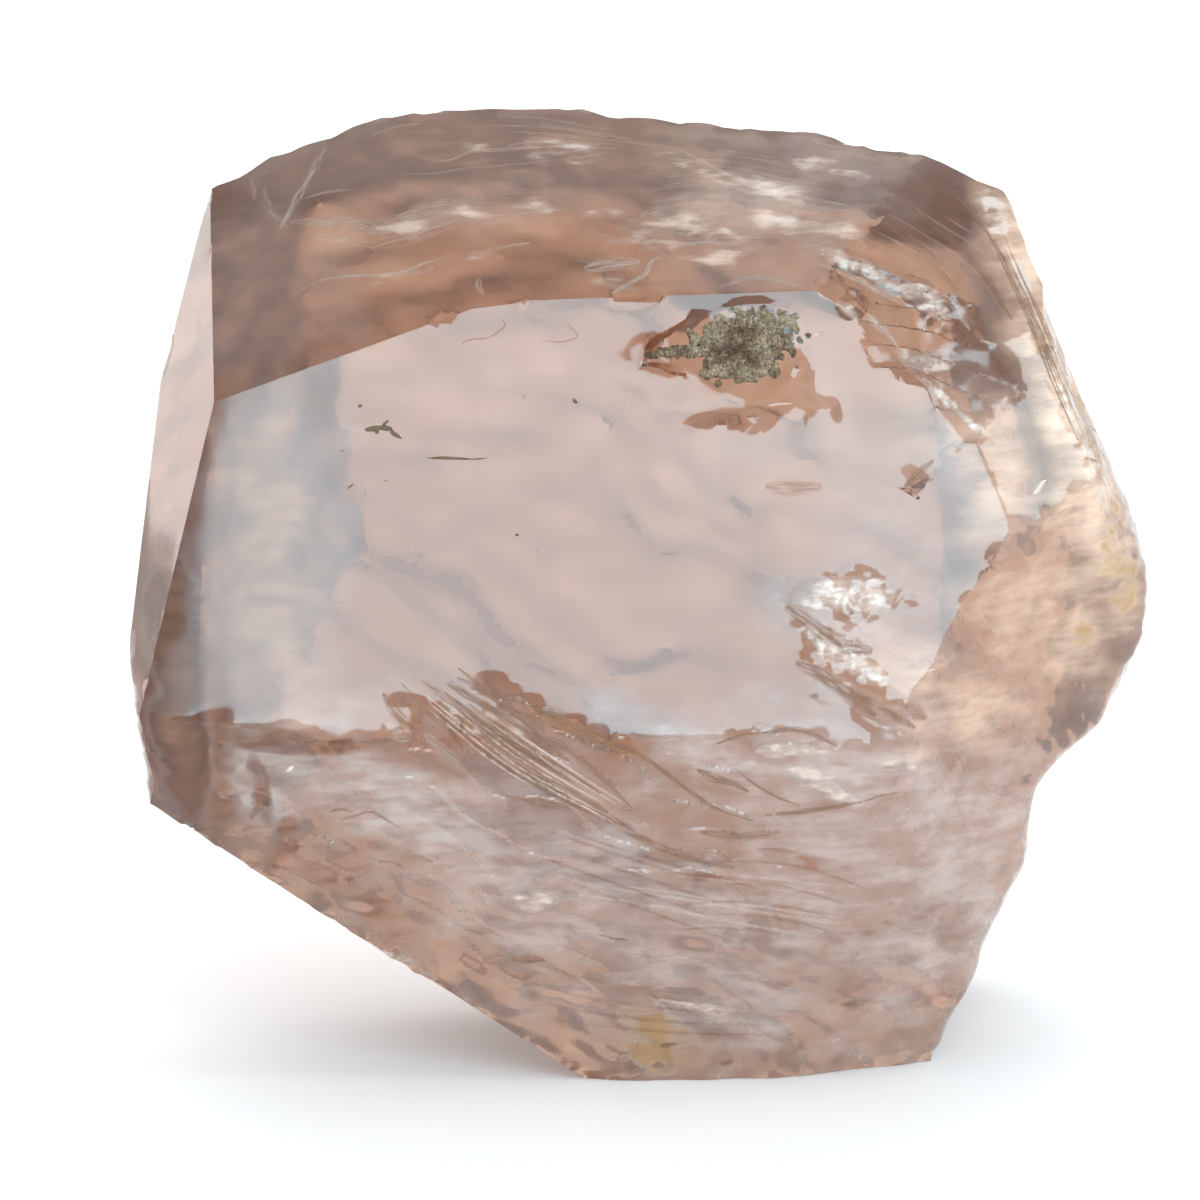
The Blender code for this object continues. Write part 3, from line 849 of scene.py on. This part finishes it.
def crust_bed():
    """The uneven bed that the grains are grown on: an irregular patch over the crust's pit."""
    wide, high = (np.arange(*reach, CRUST_CELL) for reach in CRUST_REACH)
    grid = np.stack(np.meshgrid(wide, high), -1).reshape(-1, 2)
    inside = in_spots(grid, CRUST_SPOTS, 6, length=0.28, fray=0.45)
    relief = rough_noise(np.column_stack((grid, np.full(len(grid), 3.0))), 0.5, 9)
    top = -0.05 + CRUST_HEIGHT * np.sqrt(np.clip(inside - 0.35, 0, 1)) + 0.12 * relief
    kept = (inside > 0.4).reshape(len(high), len(wide))
    mesh = bmesh.new()
    spots = off_face("front", np.column_stack((grid, top))) * MM
    verts = [mesh.verts.new(spot) for spot in spots]
    for row in range(len(high) - 1):
        for column in range(len(wide) - 1):
            if kept[row:row + 2, column:column + 2].all():
                first = row * len(wide) + column
                mesh.faces.new([verts[first + step] for step in (0, 1, len(wide) + 1, len(wide))])
    bmesh.ops.delete(mesh, geom=[v for v in mesh.verts if not v.link_faces], context="VERTS")
    rim = [edge for edge in mesh.edges if edge.is_boundary]
    skirt = bmesh.ops.extrude_edge_only(mesh, edges=rim)["geom"]
    inward = face_axes("front")[1][2] * -CRUST_SKIRT * MM
    lowered = [item for item in skirt if isinstance(item, bmesh.types.BMVert)]
    bmesh.ops.translate(mesh, vec=inward, verts=lowered)
    bmesh.ops.holes_fill(mesh, edges=[edge for edge in mesh.edges if edge.is_boundary])
    bmesh.ops.recalc_face_normals(mesh, faces=mesh.faces)
    bed = in_fixed_order("crust_bed", mesh)
    mesh.free()
    return bed


def grain_tree(material):
    """Geometry nodes that grow uneven rock grains, each of its own shade, on a bed."""
    tree = bpy.data.node_groups.new("rock grains", "GeometryNodeTree")
    sockets = tree.interface
    sockets.new_socket("Bed", in_out="INPUT", socket_type="NodeSocketGeometry")
    for name, kind in (("Grain size", "Float"), ("Grains per m2", "Float"), ("Seed", "Int")):
        sockets.new_socket(name, in_out="INPUT", socket_type="NodeSocket" + kind)
    sockets.new_socket("Crust", in_out="OUTPUT", socket_type="NodeSocketGeometry")

    add = Nodes(tree).add
    given = add("NodeGroupInput").outputs
    spots = add("GeometryNodeDistributePointsOnFaces", {
        "Mesh": given["Bed"], "Density": given["Grains per m2"], "Seed": given["Seed"]})
    ball = add("GeometryNodeMeshIcoSphere", {"Radius": given["Grain size"], "Subdivisions": 1})
    turn = add("FunctionNodeRandomValue", {"Max": (6.28, 6.28, 6.28), "Seed": 2},
               data_type="FLOAT_VECTOR")
    size = add("FunctionNodeRandomValue", {"Min": (0.5, 0.5, 0.5), "Max": (1.7, 1.3, 1.1),
                                           "Seed": 3}, data_type="FLOAT_VECTOR")
    grown = add("GeometryNodeInstanceOnPoints", {
        "Points": spots.outputs["Points"], "Instance": ball.outputs["Mesh"],
        "Rotation": turn.outputs["Value"], "Scale": size.outputs["Value"]})
    shade = add("FunctionNodeRandomValue", {"Min": 0.15, "Max": 1.0, "Seed": 4},
                data_type="FLOAT")
    shaded = add("GeometryNodeStoreNamedAttribute", {
        "Geometry": grown.outputs["Instances"], "Name": "grain_shade",
        "Value": shade.outputs[1]}, data_type="FLOAT", domain="INSTANCE")
    real = add("GeometryNodeRealizeInstances", {"Geometry": shaded.outputs["Geometry"]})
    noise_at = add("ShaderNodeTexNoise", {"Scale": 9000.0, "Detail": 1.0})
    centred = add("ShaderNodeVectorMath", {0: noise_at.outputs["Color"], 1: (0.5, 0.5, 0.5)},
                  operation="SUBTRACT")
    push = add("ShaderNodeVectorMath", {0: centred.outputs["Vector"], "Scale": GRAIN_UNEVEN * MM},
               operation="SCALE")
    uneven = add("GeometryNodeSetPosition", {"Geometry": real.outputs["Geometry"],
                                             "Offset": push.outputs["Vector"]})
    together = add("GeometryNodeJoinGeometry")
    tree.links.new(given["Bed"], together.inputs["Geometry"])
    tree.links.new(uneven.outputs["Geometry"], together.inputs["Geometry"])
    finish = add("GeometryNodeSetMaterial", {"Geometry": together.outputs["Geometry"],
                                             "Material": material})
    add("NodeGroupOutput", {"Crust": finish.outputs["Geometry"]})
    return tree


def rock_crust(material):
    bed = in_scene("crust_bed", crust_bed())
    grow = bed.modifiers.new("grains", "NODES")
    grow.node_group = grain_tree(material)
    values = {"Grain size": GRAIN_SIZE * MM, "Grains per m2": GRAINS_PER_MM2 * 1e6, "Seed": 7}
    for item in grow.node_group.interface.items_tree:
        if item.name in values:
            grow[item.identifier] = values[item.name]
    mesh = evaluated_mesh(bed)
    bpy.data.objects.remove(bed)
    print("rock grains:", len(mesh.polygons), "faces")
    return mesh


def smooth_way(points, step):
    """A smooth curve through points that are given as x, y, x, y, with places a step apart."""
    points = np.reshape(points, (-1, 2)).astype(float)
    padded = np.vstack((2 * points[0] - points[1], points, 2 * points[-1] - points[-2]))
    way = []
    for a, b, c, d in zip(padded, padded[1:], padded[2:], padded[3:]):
        count = max(2, int(np.linalg.norm(c - b) / step))
        for t in np.arange(count) / count:
            bend = (2 * a - 5 * b + 4 * c - d) * t**2 + (3 * b - a - 3 * c + d) * t**3
            way.append(0.5 * (2 * b + (c - a) * t + bend))
    way.append(points[-1])
    return np.array(way)


def add_ribbon(mesh, layers, way, outs, half_width, strength, seed):
    """A thin wavy strip along a way, tapered to both ends, with its own streak pattern."""
    uv, alpha = layers
    count = len(way)
    side = np.cross(np.gradient(way, axis=0), outs)
    side /= np.maximum(np.linalg.norm(side, axis=1), 1e-9)[:, None]
    rows = []
    for index in range(count):
        wobble = noise.noise(Vector((index * 0.21, seed * 3.7, 0)))
        end = min(max(index / max(count - 1, 1), 0.03), 0.97)
        wide = WIDEN * half_width * math.sin(math.pi * end) ** 0.5 * (1 + 0.6 * wobble)
        rows.append([mesh.verts.new((way[index] + side[index] * wide * k) * MM)
                     for k in (-1, 0, 1)])
    for index in range(count - 1):
        for k in (0, 1):
            places = ((index, k), (index, k + 1), (index + 1, k + 1), (index + 1, k))
            face = mesh.faces.new([rows[i][j] for i, j in places])
            for loop, (along, across) in zip(face.loops, places):
                loop[uv].uv = (along * WAY_STEP + seed * 5, across / 2)
                loop.vert[alpha] = strength


def ribbon_by_pixels(mesh, layers, surface, pixels, depth, half_width, strength, seed):
    """A ribbon on or under the surface along the way that the camera sees through pixels."""
    way = smooth_way(pixels, WAY_STEP * WAY_SCALE)
    seen = [place for place in (seen_place(pixel, surface, depth) for pixel in way) if place]
    if len(seen) < 3:
        return
    points, outs = (np.array(part) for part in zip(*seen))
    if depth > 0:
        outs = np.repeat(np.mean(outs, axis=0)[None], len(outs), axis=0)
        soft = np.array([0.25, 0.5, 0.25])
        for axis in range(3):
            points[1:-1, axis] = np.convolve(points[:, axis], soft, "valid")
    add_ribbon(mesh, layers, points, outs, half_width, strength, seed)


def ribbon_piece(name, ways, fans, surface, material):
    mesh = bmesh.new()
    layers = (mesh.loops.layers.uv.new("UVMap"), mesh.verts.layers.float.new("strength"))
    for seed, (depth, half_width, strength, pixels) in enumerate(ways):
        ribbon_by_pixels(mesh, layers, surface, pixels, depth, half_width, strength, seed)
    for fan, (depth, half_width, strength, count, first, last) in enumerate(fans):
        for index in range(count):
            seed = 100 + 20 * fan + index
            share = (index + 0.5 + 0.8 * noise.noise(Vector((seed * 1.7, 0.3, 0)))) / count
            near = depth * (1 + 0.5 * noise.noise(Vector((0.3, seed * 2.3, 0))))
            way = smooth_way(np.array(first) * (1 - share) + np.array(last) * share, 4)
            start = int(len(way) * 0.7 * abs(noise.noise(Vector((seed * 0.9, 3.3, 0)))))
            end = len(way) - int(len(way) * 0.7 * abs(noise.noise(Vector((seed * 1.1, 7.3, 0)))))
            ribbon_by_pixels(mesh, layers, surface, way[start:end:3], near, half_width,
                             strength, seed)
    made = finished_mesh(name, mesh, material)
    print(name, len(made.polygons), "faces")
    return made


def dirt_specks(material):
    """Small dark crumbs that lie on the front face."""
    mesh = bmesh.new()
    for across, up, half_length, half_width, turn in SPECKS:
        start = len(mesh.verts)
        bmesh.ops.create_icosphere(mesh, subdivisions=3, radius=1)
        mesh.verts.ensure_lookup_table()
        a = math.radians(turn)
        for vert in mesh.verts[start:]:
            rough = 1 + 0.45 * noise.noise(vert.co * 1.7 + Vector((across, up, 0)))
            along = vert.co.x * half_length * rough
            aside = vert.co.y * half_width * rough
            out = vert.co.z * min(half_width, SPECK_HEIGHT) * 0.6 * rough
            place = (across + along * math.cos(a) - aside * math.sin(a),
                     up + along * math.sin(a) + aside * math.cos(a), out)
            vert.co = off_face("front", [place])[0] * MM
    return finished_mesh("dirt_specks", mesh, material)


def new_piece(name, mesh, nodes=()):
    """A piece of the object, on its body, with the frame nodes that it stands for hidden."""
    piece = in_scene(name, mesh)
    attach(piece, "root")
    if nodes:
        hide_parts(*nodes)


def topaz_material():
    """Clear stone: glossy on growth faces, rough on broken ones, and coloured by its depth, with
    streaky crack haze and painted sheen, clear windows in it, crinkled patches with painted glints,
    and rust."""
    topaz = Finish("topaz")
    masks = {name: topaz.painted(name) for name in ("broken", "behind", "ridge", *SPOTS)}
    math_of, ranged, mixed = topaz.math_of, topaz.ranged, topaz.mixed
    place = topaz.place()

    def pattern(scale, detail, stretch, turn=0.0):
        moved = topaz.add("ShaderNodeMapping", {"Vector": place, "Scale": stretch,
                                                "Rotation": (0.0, math.radians(turn), 0.0)})
        return topaz.noise(moved.outputs["Vector"], scale, detail, 0.6)

    streaks = pattern(1400.0, 3.0, (0.3, 0.3, 1.4), -13.0)
    patches = pattern(800.0, 2.0, (0.7, 0.7, 1.0))
    crinkles = pattern(2600.0, 2.0, (0.7, 0.7, 1.0), 20.0)
    both = math_of("ADD", streaks, patches)
    frays = math_of("SUBTRACT", both, 1.0)
    uneven = ranged(both, 0.8, 1.2, 0.6, 1.4)

    def frayed(mask, low, high):
        fray = math_of("MULTIPLY", frays, ranged(mask, 0.0, 0.3, 0.0, 2.0))
        return ranged(math_of("ADD", fray, mask), low, high)

    warm = math_of("MULTIPLY", masks["warm"], uneven)
    brown = math_of("MULTIPLY", masks["brown"], uneven)
    closed = math_of("SUBTRACT", 1.0, frayed(masks["window"], 0.3, 0.9))
    # Crack haze and painted sheen of the front light, with the clear windows taken out.
    haze_and_sheen = math_of("MULTIPLY", math_of("MULTIPLY", masks["haze_and_sheen"], uneven), closed)
    frosted = math_of("MULTIPLY", masks["behind"], ranged(patches, 0.35, 0.65, 0.5, 1.5))
    veil = math_of("MULTIPLY", frayed(masks["veil"], 0.25, 0.9),
                   ranged(streaks, 0.44, 0.66, 0.0, 0.42))
    # Painted glints on the crinkled patches, as a pale diffuse share.
    painted_glint = math_of("MULTIPLY", frayed(masks["painted_glint"], 0.35, 0.8),
                      ranged(crinkles, 0.4, 0.62, 0.25, 0.85))
    rust = math_of("MULTIPLY", frayed(masks["rust"], 0.15, 0.6),
                   ranged(patches, 0.4, 0.6, 0.5, 1.0))

    milky = math_of("ADD", haze_and_sheen, warm, use_clamp=True)
    for part, strength in ((frosted, 0.1), (rust, 0.5), (masks["ridge"], 0.26), (brown, 0.55),
                           (veil, 1.0), (painted_glint, 1.0)):
        milky = math_of("MULTIPLY_ADD", part, strength, milky, use_clamp=True)

    colour = (0.72, 0.65, 0.62)
    for share, tint in ((ranged(warm, 0.0, 0.2), (0.8, 0.57, 0.43)),
                        (masks["behind"], (0.9, 0.74, 0.62)),
                        (masks["ridge"], (0.8, 0.53, 0.38)),
                        (ranged(brown, 0.0, 0.3), (0.27, 0.13, 0.07)),
                        (ranged(veil, 0.0, 0.2), (0.86, 0.72, 0.62)),
                        # The tint of the painted glints.
                        (ranged(painted_glint, 0.0, 0.3), (0.66, 0.54, 0.47)),
                        (rust, (0.44, 0.27, 0.13))):
        colour = mixed(share, colour, tint)
    colour = mixed(ranged(milky, 0.0, 0.12), (1, 0.99, 0.98), colour)

    gloss = ranged(masks["broken"], 0.0, 1.0, 0.06, 0.16)
    frost = ranged(patches, 0.4, 0.6, 0.52, 0.68)
    stone = topaz.add("ShaderNodeBsdfPrincipled", {
        "Base Color": colour, "Roughness": ranged(masks["behind"], 0.0, 1.0, gloss, frost),
        "IOR": STONE_IOR, "Transmission Weight": math_of("SUBTRACT", 1.0, milky)})
    most = max(STONE_TAKES)
    takes = topaz.add("ShaderNodeVolumeAbsorption", {
        "Color": (*(1 - take / most for take in STONE_TAKES), 1), "Density": most})
    topaz.add("ShaderNodeOutputMaterial", {"Surface": stone.outputs["BSDF"],
                                           "Volume": takes.outputs["Volume"]})
    return topaz.material


def ribbon_material(name, colour, roughness, shine):
    """A veil of tiny cracks, a painted highlight or a painted shade line, streaked along its way and
    frayed at its sides.
    """
    ribbon = Finish(name)
    way = ribbon.add("ShaderNodeUVMap", uv_map="UVMap").outputs["UV"]
    stretch = ribbon.add("ShaderNodeMapping", {"Vector": way, "Scale": (1.2, 7.0, 1.0)})
    lines = ribbon.noise(stretch.outputs["Vector"], 1.0, 1.0, 0.65)
    across = ribbon.add("ShaderNodeSeparateXYZ", {"Vector": way}).outputs["Y"]
    aside = ribbon.math_of("ABSOLUTE", ribbon.math_of("SUBTRACT", across, 0.5))
    edge = ribbon.ranged(aside, 0.1, 0.5, 1.0, 0.0, interpolation_type="SMOOTHSTEP")
    body = ribbon.math_of("MULTIPLY", edge, ribbon.ranged(lines, 0.35, 0.62, 0.15, 1.0))
    return ribbon.solid({
        "Base Color": (*colour, 1), "Roughness": roughness, "Specular IOR Level": shine,
        "Alpha": ribbon.math_of("MULTIPLY", body, ribbon.painted("strength"))})


def grains_material():
    """Dull rock: pale olive, brown and near-black grains."""
    rock = Finish("rock_grains")
    patches = rock.noise(rock.place(), 700.0, 5.0, 0.7)
    shade = rock.math_of("MULTIPLY", rock.ranged(rock.painted("grain_shade"), 0.0, 1.0, 0.3),
                         rock.ranged(patches, 0.4, 0.62, 0.04, 0.52))
    colours = rock.add("ShaderNodeValToRGB", {"Fac": shade})
    ramp = colours.color_ramp
    ramp.elements.remove(ramp.elements[1])
    for index, (position, colour) in enumerate(GRAIN_COLOURS):
        stop = ramp.elements[0] if index == 0 else ramp.elements.new(position)
        stop.position = position
        stop.color = (*colour, 1)
    return rock.solid({"Base Color": colours.outputs["Color"], "Roughness": 0.75})


def dirt_material():
    dirt = Finish("dirt")
    patches = dirt.noise(dirt.place(), 4000.0)
    colour = dirt.mixed(patches, (0.04, 0.028, 0.018), (0.26, 0.19, 0.11))
    return dirt.solid({"Base Color": colour, "Roughness": 0.8})


def floor_material():
    paper = Finish("floor_white")
    return paper.solid({"Base Color": (0.93, 0.93, 0.93, 1), "Roughness": 0.9,
                        "Specular IOR Level": 0.1, "Emission Color": (1, 1, 1, 1),
                        "Emission Strength": 0.1})


def look_from(thing, place, aim):
    """Puts a camera or a light at a place in millimetres, turned to its aim."""
    thing.location = Vector(place) * MM
    thing.rotation_euler = (Vector(place) - Vector(aim)).to_track_quat("Z", "Y").to_euler()


def make_camera():
    data = bpy.data.cameras.new("camera")
    data.sensor_width = SENSOR_WIDTH
    data.lens = SENSOR_WIDTH * VIEW_DISTANCE / VIEW_WIDTH
    data.clip_start, data.clip_end = 0.01, 20
    camera = in_scene("camera", data)
    place, axes = camera_axes()
    look_from(camera, place, place - axes[2] * VIEW_DISTANCE)
    bpy.context.scene.camera = camera


def mirror_way(pixel, face):
    """The place that the camera sees at a pixel of a flat face, and the way that it mirrors."""
    eye, way = way_through(pixel)
    foot, axes = face_axes(face)
    out = axes[2]
    spot = eye + way * ((foot - eye) @ out) / (way @ out)
    return spot, way - 2 * (way @ out) * out


def box_light(name, middle, side, rise, size, radiance):
    """A soft box with this radiance, in white's own units, for red, green and blue."""
    data = bpy.data.lights.new(name, "AREA")
    data.shape = "RECTANGLE"
    data.size, data.size_y = (length * MM for length in size)
    most = max(radiance)
    data.color = [part / most for part in radiance]
    data.energy = most * math.pi * data.size * data.size_y
    light = in_scene(name, data)
    light.matrix_world = Matrix((side, rise, np.cross(side, rise))).transposed().to_4x4()
    light.location = Vector(middle) * MM


def mirrored_box(name, corner, face, size, distance, radiance):
    """A soft box whose lower left corner is mirrored by a flat face at a pixel."""
    spot, way = mirror_way(corner, face)
    way /= np.linalg.norm(way)
    side = np.cross((0, 0, 1), way)
    side /= np.linalg.norm(side)
    rise = np.cross(way, side)
    middle = spot + way * distance + side * size[0] / 2 + rise * size[1] / 2
    box_light(name, middle, side, rise, size, radiance)


def aimed_box(name, azimuth, tilt, distance, size, radiance):
    """A soft box that faces the heart from a compass angle and a height."""
    way = np.array(outward(azimuth, tilt))
    side = np.cross((0, 0, 1), way)
    side /= np.linalg.norm(side)
    box_light(name, HEART + way * distance, side, np.cross(way, side), size, radiance)


def light_the_scene():
    mirrored_box("front_box", (193, 860), "front", (330, 310), 600, (3.3, 4.6, 5.3))
    mirrored_box("right_box", (830, 680), "right_cheek", (150, 200), 600, (3.4, 4.2, 4.4))
    aimed_box("back_box", 180, 42, 700, (700, 500), (1.85, 1.85, 1.85))
    aimed_box("left_box", -138, 8, 600, (300, 160), (1.45, 1.42, 1.4))
    world = bpy.data.worlds.new("studio")
    bpy.context.scene.world = world
    world.use_nodes = True
    background = world.node_tree.nodes["Background"]
    background.inputs["Color"].default_value = (1, 1, 1, 1)
    background.inputs["Strength"].default_value = WORLD_LIGHT
    world.cycles.sampling_method = "NONE"
    bpy.context.scene.view_settings.view_transform = "Standard"
    cycles = bpy.context.scene.cycles
    cycles.use_light_tree = False
    cycles.max_bounces = cycles.transmission_bounces = MOST_BOUNCES


def make_floor():
    mesh = bmesh.new()
    bmesh.ops.create_grid(mesh, x_segments=1, y_segments=1, size=FLOOR_REACH)
    floor = in_scene("floor", finished_mesh("floor", mesh, floor_material()))
    floor.location.z = -FLOOR_GAP * MM
    floor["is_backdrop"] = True


def main():
    make_camera()
    light_the_scene()
    make_floor()
    crystal = crystal_surface(frame["nodes"]["crystal"])
    crystal.materials.clear()
    crystal.materials.append(topaz_material())
    new_piece("clear_crystal", crystal, ["crystal"])
    solid = bmesh.new()
    solid.from_mesh(crystal)
    surface = BVHTree.FromBMesh(solid)
    solid.free()
    new_piece("rock_crust", rock_crust(grains_material()), ["matrix_crust"])
    # The veil finish also draws two painted glints and the pale fans of painted highlights.
    veil = ribbon_material("veil", (0.9, 0.77, 0.68), 0.5, 0.2)
    # Painted shade of the step lines.
    line_shade = ribbon_material("line_shade", (0.25, 0.155, 0.105), 0.6, 0.2)
    fans = FANS + LIGHT_FANS
    new_piece("streaks", ribbon_piece("streaks", STREAKS, fans, surface, veil))
    lines = [(0, *line) for line in BROWN_LINES]
    new_piece("brown_lines", ribbon_piece("brown_lines", lines, BROWN_FANS, surface, line_shade))
    new_piece("dirt_specks", dirt_specks(dirt_material()))


main()
seen_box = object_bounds()
boxes = {"cad": CAD_BOX, "visual": seen_box}
{name: [list(corner) for corner in box] for name, box in boxes.items()}
